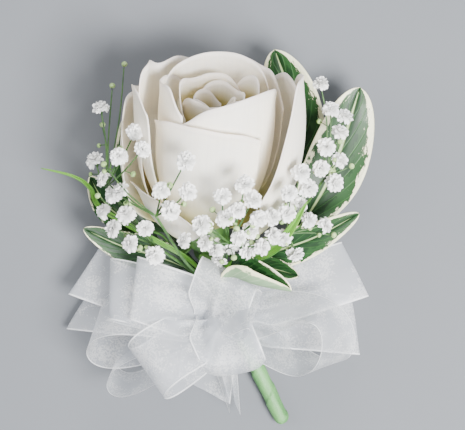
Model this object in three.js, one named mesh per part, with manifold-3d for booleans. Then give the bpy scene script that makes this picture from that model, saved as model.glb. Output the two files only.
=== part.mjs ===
// A rose corsage lying on its back: one white rose, variegated leaves, baby's breath, a sheer ribbon bow
// and a taped stem. Millimetres. +Z is up, off the surface that the corsage lies on, and +Y runs from the
// stem towards the flower. It is built from the tie of the bow, then moved over its footprint's middle.
import * as THREE from "three";
import { mergeVertices } from "three/addons/utils/BufferGeometryUtils.js";
import Module from "manifold-3d";

const wasm = await Module();
wasm.setup();

// ---- driving dimensions ----
const HEAD_HEIGHT = 66; // foot of the petals to the highest rim, along the flower's axis
const HEAD_TILT = 30; // degrees that the flower points up off the surface
const HEAD_LEAN = 3.5; // degrees that it leans to the right
const HEAD_BASE = [-1.9, 25.4, 15.05]; // where the petals start, on the flower's axis
const PETAL_THICK = 0.5;
const CONE_TOP = 20; // height of the cone inside the petals
const HIP_FOOT = -9;
const HIP_RADIUS = 5;
const SEPALS = 5;
const SEPAL_THICK = 0.7;
const SEPAL_FALL = 7; // how far a sepal's tip hangs back along the hip
const STEM_RADIUS = 1.4;
const WIRE_RADIUS = 0.35;
const TAPE_TOP_RADIUS = 3.7;
const TAPE_TIP_RADIUS = 2.9;
const TAPE_WALL = 0.6;
const LEAF_THICK = 0.6;
const STALK_HALF_WIDTH = 0.55;
const FLOWER_RADIUS = 2.9; // one baby's breath flower
const BUD_RADIUS = 1.1;
const TWIG_RADIUS = 0.35;
const RIBBON_WIDTH = 22;
const RIBBON_THICK = 0.5;
const PINCH = 0.22; // share of the ribbon's width that is left where the bow is pinched
const PINCH_LENGTH = 15; // distance from the pinch to the ribbon's full width
const PLY_GAP = 0.7; // half the distance between a loop's two plies at the pinch
const LOOP_START = 5; // distance of a loop's pinched end from the tie's axis
const TIE_AT = [0.5, -0.5];
const TIE_FOOT = 9.3;
const TIE_TOP = 33;
const TIE_RADIUS = 3.8;

// ---- colours and finishes ----
const finish = (color, roughness) => new THREE.MeshStandardMaterial({ color, roughness, metalness: 0 });
const petalFinish = () => finish(0xf1ece2, 0.6);
const leafFinish = () => finish(0x2c5a30, 0.35);
const grassFinish = () => finish(0x5f9a3c, 0.45);
const breathFinish = () => finish(0xf6f6f4, 0.8);
const organzaFinish = () => finish(0xe4e6ea, 0.4);
const tapeFinish = () => finish(0x7fae7c, 0.6);
const stalkFinish = () => finish(0x56803f, 0.6);
const wireFinish = () => finish(0x3f5a3c, 0.4);

// ---- shaping helpers ----
const vec = (p) => new THREE.Vector3(...p);
const radians = THREE.MathUtils.degToRad;
const smooth = (x) => THREE.MathUtils.smoothstep(x, 0, 1);
const throughPoints = (points) => new THREE.CatmullRomCurve3(points.map(vec));
const corsage = new THREE.Group();

function place(name, geometry, material, parent = corsage) {
  const mesh = new THREE.Mesh(geometry, material);
  mesh.name = name;
  parent.add(mesh);
}

// A box bent into a thin sheet: surface(s, t) gives a point for s from -1 to 1 across and t from 0 to 1 along.
function sheet(surface, across, along, thick) {
  const box = new THREE.BoxGeometry(1, 1, 1, across, along, 1);
  const at = box.getAttribute("position");
  const step = 0.01;
  for (let i = 0; i < at.count; i += 1) {
    const s = 2 * at.getX(i);
    const t = at.getY(i) + 0.5;
    const sideways = surface(Math.min(s + step, 1), t).sub(surface(Math.max(s - step, -1), t));
    const lengthways = surface(s, Math.min(t + step, 1)).sub(surface(s, Math.max(t - step, 0)));
    const normal = sideways.cross(lengthways).normalize();
    const point = surface(s, t).addScaledVector(normal, at.getZ(i) * thick);
    at.setXYZ(i, point.x, point.y, point.z);
  }
  return matchDiagonals(box, across * along);
}

// Splits the underside's quads along the same diagonals as the top's, so a twisted sheet keeps its thickness.
function matchDiagonals(box, quads) {
  const { array } = box.index;
  for (let i = array.length - 6 * quads; i < array.length; i += 6) {
    array[i + 2] = array[i + 4];
    array[i + 3] = array[i];
  }
  return box;
}

// A cylinder bent along a curve, with a radius that changes along it.
function limb(curve, radiusAt, sides, steps) {
  const tube = new THREE.CylinderGeometry(1, 1, 1, sides, steps);
  const at = tube.getAttribute("position");
  const frames = curve.computeFrenetFrames(steps, false);
  for (let i = 0; i < at.count; i += 1) {
    const t = at.getY(i) + 0.5;
    const row = Math.round(t * steps);
    const radius = radiusAt(t);
    const point = curve
      .getPointAt(t)
      .addScaledVector(frames.normals[row], at.getX(i) * radius)
      .addScaledVector(frames.binormals[row], -at.getZ(i) * radius);
    at.setXYZ(i, point.x, point.y, point.z);
  }
  return tube;
}

// A round rod of one radius along a curve.
function rod(curve, radius, sides, steps) {
  const section = new THREE.Shape().absarc(0, 0, radius, 0, 2 * Math.PI);
  return new THREE.ExtrudeGeometry(section, { extrudePath: curve, steps, curveSegments: sides / 2 });
}

// A turned solid that stands along +Z, from points of radius and height.
const turned = (profile, sides) =>
  new THREE.LatheGeometry(profile.map((p) => new THREE.Vector2(...p)), sides).rotateX(Math.PI / 2);

function solid(geometry) {
  const bare = geometry.clone();
  bare.deleteAttribute("normal");
  bare.deleteAttribute("uv");
  const merged = mergeVertices(bare, 1e-4);
  const vertProperties = merged.getAttribute("position").array;
  const triVerts = new Uint32Array(merged.index.array);
  return new wasm.Manifold(new wasm.Mesh({ numProp: 3, vertProperties, triVerts }));
}

function geometryOf(manifold) {
  const mesh = manifold.getMesh();
  return new THREE.BufferGeometry()
    .setAttribute("position", new THREE.BufferAttribute(mesh.vertProperties, 3))
    .setIndex(new THREE.BufferAttribute(mesh.triVerts, 1));
}

const joined = (geometries) => geometryOf(geometries.map(solid).reduce((whole, next) => whole.add(next)));

// ---- the rose ----
// Petals are shells nested round the flower's axis: layer is 0 at the heart and 1 at the outermost petal.
// rise is 0 at a petal's claw, on the cone, and 1 at the height of the highest rim.
function petalProfile(layer, rise) {
  const inward = 1 - layer;
  const claw = new THREE.Vector2(2 + 7 * layer, 1 + (CONE_TOP - 1) * inward);
  const shoulder = claw.clone().add(new THREE.Vector2(0.5 + 16 * layer, 1.5 + 4 * inward));
  const belly = new THREE.Vector2(4.5 + 36 * layer, HEAD_HEIGHT * (0.42 + 0.15 * inward));
  const rim = new THREE.Vector2(3.5 + 27 * layer, HEAD_HEIGHT);
  return new THREE.CubicBezierCurve(claw, shoulder, belly, rim).getPoint(rise);
}

// A petal is narrow at its claw and full by mid height. corner rounds its top, lean drops one end of the rim,
// and flare turns its upper half outwards.
const CLAW_WIDTH = 0.16;
const petalSurface =
  ({ layer, bearing, spread, top, corner = 0.16, flare = 0, lean = 0 }) =>
  (s, t) => {
    const rise = t * top * (1 - corner * Math.abs(s) ** 3 + lean * s);
    const { x: radius, y: height } = petalProfile(layer, rise);
    const angle = radians(bearing + s * spread * (CLAW_WIDTH + (1 - CLAW_WIDTH) * smooth(rise / 0.5)));
    const reach = radius + flare * smooth((rise - 0.45) / 0.55);
    return new THREE.Vector3(reach * Math.cos(angle), -reach * Math.sin(angle), height);
  };

const INNER_PETALS = 6;
const GOLDEN_ANGLE = 137.5;
const innerPetals = Array.from({ length: INNER_PETALS }, (_, i) => ({
  name: `petal_inner_${i + 1}`,
  layer: 0.07 + 0.058 * i,
  bearing: 40 + GOLDEN_ANGLE * i,
  spread: 112 - 6 * i,
  top: 0.9 + 0.012 * i,
}));

// bearing: 0 is to the right, 90 to the front (up), 180 to the left, 270 to the back, which lies down.
const outerPetals = [
  { name: "petal_back_tall", layer: 0.43, bearing: 265, spread: 78, top: 1 },
  { name: "petal_left_narrow", layer: 0.49, bearing: 188, spread: 62, top: 0.95 },
  { name: "petal_front_upper", layer: 0.55, bearing: 52, spread: 72, top: 0.97, lean: -0.06 },
  { name: "petal_front_lower", layer: 0.61, bearing: 100, spread: 50, top: 0.86, corner: 0.04 },
  { name: "petal_back_right", layer: 0.66, bearing: 315, spread: 58, top: 0.95 },
  { name: "petal_back_left", layer: 0.71, bearing: 222, spread: 56, top: 0.97, flare: 1 },
  { name: "petal_left_upper", layer: 0.76, bearing: 170, spread: 50, top: 0.92, flare: 1 },
  { name: "petal_right_inner", layer: 0.81, bearing: 345, spread: 46, top: 0.94, flare: 1 },
  { name: "petal_left_lower", layer: 0.86, bearing: 140, spread: 46, top: 0.62 },
  { name: "petal_right_tall", layer: 0.91, bearing: 9, spread: 46, top: 1, flare: 4, lean: 0.03 },
  { name: "petal_under", layer: 0.955, bearing: 266, spread: 48, top: 0.84 },
  { name: "petal_under_left", layer: 1, bearing: 208, spread: 44, top: 0.8 },
];

// The furled middle, which stands on the tip of the cone.
function heart() {
  const foot = CONE_TOP + 0.8;
  const top = 0.88 * HEAD_HEIGHT;
  const profile = [[0, foot], [1.2, foot + 1], [2.6, foot + 16], [2.5, foot + 32], [1.4, top - 0.6], [0, top]];
  return turned(profile, 10);
}

// The green hip under the petals with the cone that carries them, and sepals turned back over the hip.
function calyx() {
  const hip = [[0, HIP_FOOT], [2.6, HIP_FOOT], [4.6, -6.5], [HIP_RADIUS, -3], [7.6, -0.6], [8, 0.2]];
  const cone = [[1.6, CONE_TOP - 0.4], [0, CONE_TOP + 0.3]];
  const sepal = (angle) => (s, t) => {
    const across = s * (0.3 + 2.7 * Math.sin(Math.PI * (0.18 + 0.8 * t)));
    const out = HIP_RADIUS + 1.4 + 3.6 * Math.sin(1.6 * t);
    const [cos, sin] = [Math.cos(angle), Math.sin(angle)];
    return new THREE.Vector3(out * cos + across * sin, across * cos - out * sin, -1.5 - SEPAL_FALL * t * t);
  };
  const firstSepal = 18;
  const bearings = Array.from({ length: SEPALS }, (_, i) => radians(firstSepal + (360 / SEPALS) * i));
  const sepals = bearings.map((angle) => sheet(sepal(angle), 1, 4, SEPAL_THICK));
  return joined([turned([...hip, ...cone], 16), ...sepals]);
}

const rose = new THREE.Group();
rose.position.set(...HEAD_BASE);
rose.rotation.set(radians(HEAD_TILT - 90), radians(HEAD_LEAN), 0);
corsage.add(rose);
for (const petal of innerPetals) {
  place(petal.name, sheet(petalSurface(petal), 11, 4, PETAL_THICK), petalFinish(), rose);
}
for (const petal of outerPetals) {
  place(petal.name, sheet(petalSurface(petal), 7, 5, PETAL_THICK), petalFinish(), rose);
}
place("rose_heart", heart(), petalFinish(), rose);
place("rose_calyx", calyx(), stalkFinish(), rose);

// ---- the stem: the rose's own stalk and a florist's wire, side by side inside wound tape ----
const STEM_TOP = [-2.2, 15.2, 8.2];
const stemCurve = throughPoints([STEM_TOP, [0.4, 8, 5.9], [6.2, -2, 5], [15.6, -21, 4.1], [25.9, -42.2, 2.95]]);

// Part of the stem's line, moved sideways.
function besideStem(from, to, dx) {
  const points = [];
  for (let i = 0; i <= 5; i += 1) {
    points.push(stemCurve.getPointAt(from + ((to - from) * i) / 5).add(new THREE.Vector3(dx, 0, 0)));
  }
  return new THREE.CatmullRomCurve3(points);
}

// The tape is a tapered sleeve, open at the top, with a rounded tip.
function tapeSleeve() {
  const radiusAt = (t) => THREE.MathUtils.lerp(TAPE_TOP_RADIUS, TAPE_TIP_RADIUS, t);
  const tipShare = (t) => THREE.MathUtils.clamp((t - 0.93) / 0.073, 0, 1);
  const outside = limb(stemCurve, (t) => radiusAt(t) * Math.sqrt(1 - tipShare(t) ** 2), 12, 26);
  const aboveTop = stemCurve.getTangentAt(0).multiplyScalar(-2).add(vec(STEM_TOP));
  const hollowLine = [aboveTop, ...Array.from({ length: 7 }, (_, i) => stemCurve.getPointAt((0.93 * i) / 6))];
  const hollow = limb(new THREE.CatmullRomCurve3(hollowLine), (t) => radiusAt(t) - TAPE_WALL, 12, 8);
  return geometryOf(solid(outside).subtract(solid(hollow)));
}
place("stem_tape", tapeSleeve(), tapeFinish());
place("rose_stem", rod(besideStem(0.015, 0.5, -0.9), STEM_RADIUS, 8, 6), stalkFinish());
place("stem_wire", rod(besideStem(0.02, 0.88, 1.9), WIRE_RADIUS, 6, 10), wireFinish());

// ---- leaves and blades of grass ----
// line is the midrib, side the direction across the leaf, stalk the share of the line that is bare stalk,
// cup how far the edges lift, and slim how far the widest place moves to the stalk.
const leafSurface = ({ line, side, width, stalk, cup = 0.15, slim = 0.75 }) => {
  const rib = throughPoints(line);
  const across = vec(side).normalize();
  return (s, t) => {
    const along = rib.getTangentAt(t);
    const over = across.clone().addScaledVector(along, -across.dot(along)).normalize();
    const face = over.clone().cross(along).normalize();
    const blade = THREE.MathUtils.clamp((t - stalk) / (1 - stalk), 0, 1);
    const half = STALK_HALF_WIDTH + (width / 2) * Math.sin(Math.PI * blade ** slim) ** 0.8;
    const lift = cup * half * Math.abs(s) ** 1.5;
    return rib.getPointAt(t).addScaledVector(over, s * half).addScaledVector(face, lift);
  };
};

const leaves = [
  {
    name: "leaf_right_upper", side: [1, -0.4, -0.2], width: 21, stalk: 0.34,
    line: [[5.8, 11, 5.4], [24, 22, 7], [41, 46, 13], [53.5, 79, 19]],
  },
  {
    name: "leaf_top_right", side: [1, 0.1, 0.25], width: 18, stalk: 0.4, cup: 0.05,
    line: [[5, 14.4, 4], [22, 36, 3], [31, 64, 5], [24.5, 93.5, 18]],
  },
  {
    name: "leaf_right_lower", side: [0.4, -0.8, -0.2], width: 13, stalk: 0.26,
    line: [[5.4, 12.4, 9.6], [12, 17, 14], [21, 21, 20], [36, 26.5, 24], [51.5, 35, 27]],
  },
  {
    name: "leaf_left_lower", side: [0.3, 0.9, 0], width: 12, stalk: 0.26, cup: 0,
    line: [[-5.9, 12.6, 10.2], [-10.6, 15.6, 15.4], [-20, 19.7, 18.6], [-33, 23.5, 19.4], [-46, 29.6, 22]],
  },
  {
    name: "leaf_left_upper", side: [0.8, 0.3, -0.4], width: 11, stalk: 0.35, cup: 0.3,
    line: [[-6, 13.6, 6.2], [-20, 25, 7], [-37, 36.5, 13], [-43.5, 48, 25]],
  },
  {
    name: "leaf_under_left", side: [1, 0.1, -0.15], width: 18, stalk: 0.3, cup: 0.05,
    line: [[-5, 15, 3.6], [-18, 30, 2], [-27, 48, 2], [-31, 72, 6.5]],
  },
  {
    name: "leaf_front_curled", side: [0.25, 0.85, 0.3], width: 12, stalk: 0.4, cup: -0.3,
    line: [[2.6, 12.6, 13.8], [9, 17.5, 28], [15, 22, 42], [28, 14, 48]],
  },
  {
    name: "leaf_front_small", side: [0.1, 0.9, -0.3], width: 8, stalk: 0.3,
    line: [[4.2, 9.4, 11.6], [11, 13.6, 19.5], [20, 16.5, 24], [29.5, 17, 28]],
  },
];
const blades = [
  {
    name: "grass_blade_right", side: [1, -0.5, -0.1], width: 4.4, stalk: 0.05, slim: 0.6,
    line: [[3, 14, 13.6], [10.6, 18.8, 25], [20, 23, 38], [26, 29, 46.5], [32, 39, 50]],
  },
  {
    name: "grass_blade_left", side: [0.7, 0.7, 0], width: 1.2, stalk: 0.05,
    line: [
      [-3.4, 12.8, 12], [-10, 19.5, 19.6], [-24, 27.5, 23.6], [-39.8, 37, 23],
      [-43.4, 44, 25], [-49.4, 48.1, 25], [-61, 51, 23],
    ],
  },
];
for (const leaf of leaves) place(leaf.name, sheet(leafSurface(leaf), 4, 9, LEAF_THICK), leafFinish());
for (const blade of blades) place(blade.name, sheet(leafSurface(blade), 1, 12, LEAF_THICK), grassFinish());

// ---- baby's breath ----
// Each spray is one branched stalk. It climbs from beside the stem to its fork, at the angle root round the
// stem, and from the fork a twig runs to each flower and bud.
const STALK_RING_AT = [-0.7, 11, 6.7];
const STALK_RING = 6;
const sprays = [
  {
    name: "breath_left_high", root: 167,
    through: [[-13.4, 19.2, 12], [-18, 26.8, 16.6], [-25.5, 30.8, 25]], fork: [-36.5, 44, 38],
    flowers: [[-39.2, 72.7, 30], [-25.5, 62.5, 52], [-41, 54, 35], [-31, 54.5, 51], [-22.5, 56.2, 60]],
    buds: [[-31.3, 87.7, 24], [-35.5, 80, 25], [-38.6, 66, 29]],
  },
  {
    name: "breath_left_middle", root: 110, through: [[-9.5, 18.5, 37]], fork: [-18.5, 34, 55],
    flowers: [
      [-37.5, 47, 43], [-31.2, 42.9, 49], [-16.3, 43, 62],
      [-13, 36, 61], [-8, 52.3, 66], [-7.3, 42.2, 64],
    ],
    buds: [[-36.5, 51.5, 48]],
  },
  {
    name: "breath_left_low", root: 128, through: [[-9.5, 16, 24]], fork: [-20, 24, 37],
    flowers: [[-38, 36, 37], [-29.5, 35, 45], [-34.6, 29.9, 38], [-22.7, 30.2, 48], [-19.5, 20.4, 42]],
    buds: [[-39.5, 41, 38], [-22.5, 23, 40]],
  },
  {
    name: "breath_centre", root: 86, through: [[4, 17.5, 31]], fork: [6, 25, 53],
    flowers: [
      [3.5, 40.9, 65], [11, 44.8, 66], [4.4, 33.8, 62], [15.8, 33.6, 62], [-2.6, 25.2, 56],
      [-9.7, 26, 53], [2, 19, 48], [9.2, 27.2, 58], [17.4, 23.7, 53],
    ],
    buds: [[-0.6, 31, 60]],
  },
  {
    name: "breath_right_low", root: 40, through: [[14, 21, 23.5]], fork: [26, 28, 39],
    flowers: [
      [29.8, 49, 54], [25.6, 42, 59], [32.5, 44, 49], [25.2, 35.4, 52],
      [33.4, 33, 42], [39.4, 31, 37], [29, 20.5, 36],
    ],
    buds: [[42, 27.5, 34]],
  },
  {
    name: "breath_right_high", root: 12, through: [[24, 26.5, 16.5]], fork: [39, 47, 30],
    flowers: [
      [37.5, 80.5, 34], [41, 71.6, 34], [44.5, 64, 31], [39, 58, 41],
      [46.4, 69.5, 29], [44.5, 54, 32], [37, 50.5, 43], [42.5, 45.5, 35],
    ],
    buds: [[48.5, 51.5, 30]],
  },
];

const twig = (from, to) => limb(new THREE.LineCurve3(vec(from), vec(to)), () => TWIG_RADIUS, 4, 1);
const bud = (at) => new THREE.IcosahedronGeometry(BUD_RADIUS, 0).translate(...at);

function flowerHead(at, from) {
  const profile = [[0, -0.9], [1, 0], [0.65, 0.6], [0, 0.65]];
  const facing = vec(at).sub(vec(from)).normalize();
  return turned(profile, 6)
    .scale(FLOWER_RADIUS, FLOWER_RADIUS, FLOWER_RADIUS)
    .applyQuaternion(new THREE.Quaternion().setFromUnitVectors(new THREE.Vector3(0, 0, 1), facing))
    .translate(...at);
}

function spray({ root, through, fork, flowers, buds }) {
  const [x, y, z] = STALK_RING_AT;
  const angle = radians(root);
  const start = [x + STALK_RING * Math.cos(angle), y, z + STALK_RING * Math.sin(angle)];
  const stalk = throughPoints([start, ...through, fork]);
  const pieces = [limb(stalk, (t) => TWIG_RADIUS * (1.7 - 0.5 * t), 6, 6)];
  for (const at of flowers) pieces.push(twig(fork, at), flowerHead(at, fork));
  for (const at of buds) pieces.push(twig(fork, at), bud(at));
  return joined(pieces);
}
for (const one of sprays) place(one.name, spray(one), breathFinish());

// ---- the bow ----
// The ribbon is pinched round a short post of gathered ribbon and wire, and its loops stand out from there.
function tie() {
  const waist = 0.8 * TIE_RADIUS;
  const foot = [[0, TIE_FOOT], [TIE_RADIUS, TIE_FOOT], [waist, (TIE_FOOT + TIE_TOP) / 2]];
  const head = [[TIE_RADIUS, TIE_TOP - 1], [TIE_RADIUS - 1, TIE_TOP], [0, TIE_TOP]];
  return turned([...foot, ...head], 12).translate(...TIE_AT, 0);
}
place("bow_tie", tie(), organzaFinish());

function pinchStart(end, level) {
  const heading = Math.atan2(end[1] - TIE_AT[1], end[0] - TIE_AT[0]);
  const [x, y] = [TIE_AT[0] + LOOP_START * Math.cos(heading), TIE_AT[1] + LOOP_START * Math.sin(heading)];
  return new THREE.Vector3(x, y, level);
}
const openedOut = (share) => PINCH + (1 - PINCH) * smooth(share);

// fold is the middle of a loop's far end, across the direction of that fold, level the height of its pinch,
// bulge how far each ply bows out, and twist how late the ribbon turns to lie along the fold.
const loopSurface = ({ fold, across, level, bulge, twist = 1 }) => {
  const start = pinchStart(fold, level);
  const out = vec(fold).sub(start);
  const length = out.length();
  out.normalize();
  const foldAcross = vec(across).normalize();
  const flatAcross = new THREE.Vector3(0, 0, 1).cross(out).normalize();
  if (flatAcross.dot(foldAcross) < 0) flatAcross.negate();
  return (s, t) => {
    const away = Math.sin(Math.PI * t) ** 2;
    const width = flatAcross.clone().lerp(foldAcross, away ** twist).normalize();
    const face = out.clone().cross(width).normalize();
    if (face.z < 0) face.negate();
    const bow = 1.5 * bulge * Math.sin(2 * Math.PI * t) * Math.sin(Math.PI * t) ** 1.2;
    const half = (RIBBON_WIDTH / 2) * openedOut((length * away) / PINCH_LENGTH);
    return start
      .clone()
      .addScaledVector(out, length * away)
      .addScaledVector(face, bow + PLY_GAP * (1 - 2 * t))
      .addScaledVector(width, s * half);
  };
};

const loops = [
  {
    name: "bow_loop_left_back", level: 10.6, bulge: 1.5,
    fold: [-51, -0.8, 4], across: [0.1, 0.97, 0],
  },
  {
    name: "bow_loop_low_back", level: 17.6, bulge: 2, twist: 3,
    fold: [-32, -28.5, 11], across: [-0.6, 0.75, -0.1],
  },
  {
    name: "bow_loop_left_high", level: 14.4, bulge: 1.5,
    fold: [-46.2, 15, 13], across: [0.555, 0.832, 0],
  },
  {
    name: "bow_loop_left_round", level: 20.6, bulge: 2, twist: 4,
    fold: [-38.5, -15.2, 20.2], across: [0.28, 0.76, -0.4],
  },
  {
    name: "bow_loop_left_middle", level: 25.3, bulge: 1.6,
    fold: [-36.5, 8.3, 25], across: [0, 1, -0.05],
  },
  {
    name: "bow_loop_left_front", level: 28.3, bulge: 1.8,
    fold: [-27.5, 9.2, 33], across: [0.13, 0.99, 0],
  },
  {
    name: "bow_loop_front_low", level: 31, bulge: 2.4,
    fold: [-23, -19.5, 35.5], across: [0.57, -0.82, 0],
  },
  {
    name: "bow_loop_centre_up", level: 28, bulge: 2,
    fold: [5.9, 14.6, 36], across: [0.87, -0.5, 0],
  },
  {
    name: "bow_loop_centre_down", level: 28, bulge: 3.6,
    fold: [8.8, -20.4, 37], across: [0.98, 0.17, 0],
  },
  {
    name: "bow_loop_right_open", level: 26, bulge: 3, twist: 5,
    fold: [45, -10.9, 24], across: [0.62, 0.1, -0.78],
  },
  {
    name: "bow_loop_right_high", level: 16.6, bulge: 1.5,
    fold: [51.3, 14.9, 12.5], across: [0.447, -0.894, 0],
  },
  {
    name: "bow_loop_right_back", level: 12, bulge: 1.5,
    fold: [52.1, -5.9, 5], across: [0.14, -0.97, 0.1],
  },
];
for (const loop of loops) place(loop.name, sheet(loopSurface(loop), 1, 20, RIBBON_THICK), organzaFinish());

// Tails run down from the tie to a cut end. ridge is how far the tail's middle stands over its edges, slant
// tilts the cut and notch cuts a dovetail.
const TAIL_SAG = 0.8;
const tailSurface = ({ tip, across, level, width, ridge, slant = 0, notch = 0 }) => {
  const start = pinchStart(tip, level);
  const out = vec(tip).sub(start);
  const over = vec(across).normalize();
  return (s, t) => {
    const share = t * (1 + slant * s - notch * (1 - Math.abs(s)));
    const half = (width / 2) * openedOut(2 * t);
    const lift = TAIL_SAG * Math.sin(Math.PI * Math.min(share, 1)) + ridge * half * (1 - Math.abs(s));
    const point = start.clone().addScaledVector(out, share).addScaledVector(over, s * half);
    return point.setZ(point.z + lift);
  };
};
const tails = [
  {
    name: "bow_tail_short", level: 10.8, width: 20, ridge: 0, slant: 0.12,
    tip: [-3.4, -29.6, 7.5], across: [0.9, -0.2, 0],
  },
  {
    name: "bow_tail_dovetail", level: 16, width: 11, ridge: 0.9, notch: 0.2,
    tip: [8.4, -38, 9], across: [1, -0.12, 0],
  },
];
for (const tail of tails) place(tail.name, sheet(tailSurface(tail), 4, 8, RIBBON_THICK), organzaFinish());

// ---- the middle of the footprint, on the surface, becomes the origin ----
const part = new THREE.Group();
part.add(corsage);
const box = new THREE.Box3().setFromObject(corsage, true);
corsage.position.set(-(box.min.x + box.max.x) / 2, -(box.min.y + box.max.y) / 2, -box.min.z);

export default part;
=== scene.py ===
import math
import random

import bpy
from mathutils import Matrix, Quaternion, Vector, noise


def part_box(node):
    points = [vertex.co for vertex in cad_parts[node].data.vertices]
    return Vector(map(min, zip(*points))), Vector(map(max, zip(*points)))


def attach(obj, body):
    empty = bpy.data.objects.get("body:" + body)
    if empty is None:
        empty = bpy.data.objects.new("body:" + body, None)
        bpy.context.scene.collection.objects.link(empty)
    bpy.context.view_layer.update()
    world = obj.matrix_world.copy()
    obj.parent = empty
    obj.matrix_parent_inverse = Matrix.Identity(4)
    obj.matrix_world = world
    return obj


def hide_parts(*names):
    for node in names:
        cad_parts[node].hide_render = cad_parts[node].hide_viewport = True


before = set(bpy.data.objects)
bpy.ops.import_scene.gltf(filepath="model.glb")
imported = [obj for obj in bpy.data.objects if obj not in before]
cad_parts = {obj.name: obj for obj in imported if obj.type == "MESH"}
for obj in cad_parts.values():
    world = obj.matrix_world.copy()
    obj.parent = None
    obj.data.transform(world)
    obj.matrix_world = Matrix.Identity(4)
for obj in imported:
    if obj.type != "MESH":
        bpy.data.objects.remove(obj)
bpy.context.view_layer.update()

# ==== The rose's petals ====
# Living petals of a white garden rose, cream with a yellow-green claw. Each grows from the cone above the
# hip and wraps round the ones inside it, and its rim rolls outwards as the flower opens.

# Places are millimetres from the foot of the bow's tie, on the surface, as the corsage is put together.
TIE_FROM_FOOT = (0.5, -0.5, 9.3)
tie_low, tie_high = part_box("bow_tie")
tie_foot = Vector(((tie_low.x + tie_high.x) / 2, (tie_low.y + tie_high.y) / 2, tie_low.z)) * 1000
foot = tie_foot - Vector(TIE_FROM_FOOT)


def metres(point):
    return (foot + Vector(point)) / 1000


def smooth(x, start=0.0, end=1.0):
    x = min(max((x - start) / (end - start), 0.0), 1.0)
    return x * x * (3 - 2 * x)


def between(values, share):
    """A smooth run through evenly spaced values, at share from 0 to 1."""
    place = min(max(share, 0.0), 1.0) * (len(values) - 1)
    i = min(int(place), len(values) - 2)
    before, here = values[max(i - 1, 0)], values[i]
    after, beyond = values[i + 1], values[min(i + 2, len(values) - 1)]
    f = place - i
    slope, next_slope = (after - before) / 2, (beyond - here) / 2
    rise = after - here
    square, cube = 3 * rise - 2 * slope - next_slope, slope + next_slope - 2 * rise
    return here + f * (slope + f * (square + f * cube))


def grown_sheet(name, point, across, along):
    """A grid over point(s, t), s from -1 to 1 across and t from 0 to 1 along, which are also its UVs."""
    shares = [(i / across, j / along) for j in range(along + 1) for i in range(across + 1)]
    corners = [metres(point(2 * u - 1, v)) for u, v in shares]
    row = across + 1
    faces = [
        (j * row + i, j * row + i + 1, (j + 1) * row + i + 1, (j + 1) * row + i)
        for j in range(along)
        for i in range(across)
    ]
    mesh = bpy.data.meshes.new(name)
    mesh.from_pydata(corners, [], faces)
    uv = mesh.uv_layers.new(name="grain")
    for loop in mesh.loops:
        uv.data[loop.index].uv = shares[loop.vertex_index]
    mesh.shade_smooth()
    made = bpy.data.objects.new(name, mesh)
    bpy.context.collection.objects.link(made)
    return made


def thicken(piece, thickness, under_slot=0):
    solidify = piece.modifiers.new("thickness", "SOLIDIFY")
    solidify.thickness = thickness / 1000
    solidify.offset = 0
    solidify.material_offset = under_slot


def stand_for(piece, slot, *nodes):
    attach(piece, "root")
    if nodes:
        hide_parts(*nodes)


def paint(code):
    """An sRGB hex colour as linear values."""
    shares = [int(code[i : i + 2], 16) / 255 for i in (1, 3, 5)]
    linear = [c / 12.92 if c <= 0.04045 else ((c + 0.055) / 1.055) ** 2.4 for c in shares]
    return (*linear, 1.0)


def add(material, kind, links=None, **settings):
    """Adds a shader node with its settings. links gives its inputs, each a value or a node's output."""
    node = material.node_tree.nodes.new("ShaderNode" + kind)
    for name, value in settings.items():
        setattr(node, name, value)
    for name, source in (links or {}).items():
        if isinstance(source, bpy.types.NodeSocket):
            material.node_tree.links.new(source, node.inputs[name])
        else:
            node.inputs[name].default_value = source
    return node.outputs


def new_material(name):
    material = bpy.data.materials.new(name)
    material.use_nodes = True
    material.node_tree.nodes.clear()
    return material


def finish_with(material, shader):
    add(material, "OutputMaterial", {"Surface": shader})
    return material


# Petal tissue: soft and slightly waxy. Light sinks in and comes out warm, so folds glow cream instead of
# grey. Fine veins run from claw to rim, and the rim itself is drawn a little greyer. On the furled inner
# petals a darker olive claw colour climbs nearly to the rim: partly their own yellow-green, partly painted
# shade of the deep centre of the flower.
CREAM = paint("#FFF6E3")
VEIN = paint("#EBE0CF")
RIM_GREY = paint("#E6D8D0")


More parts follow.
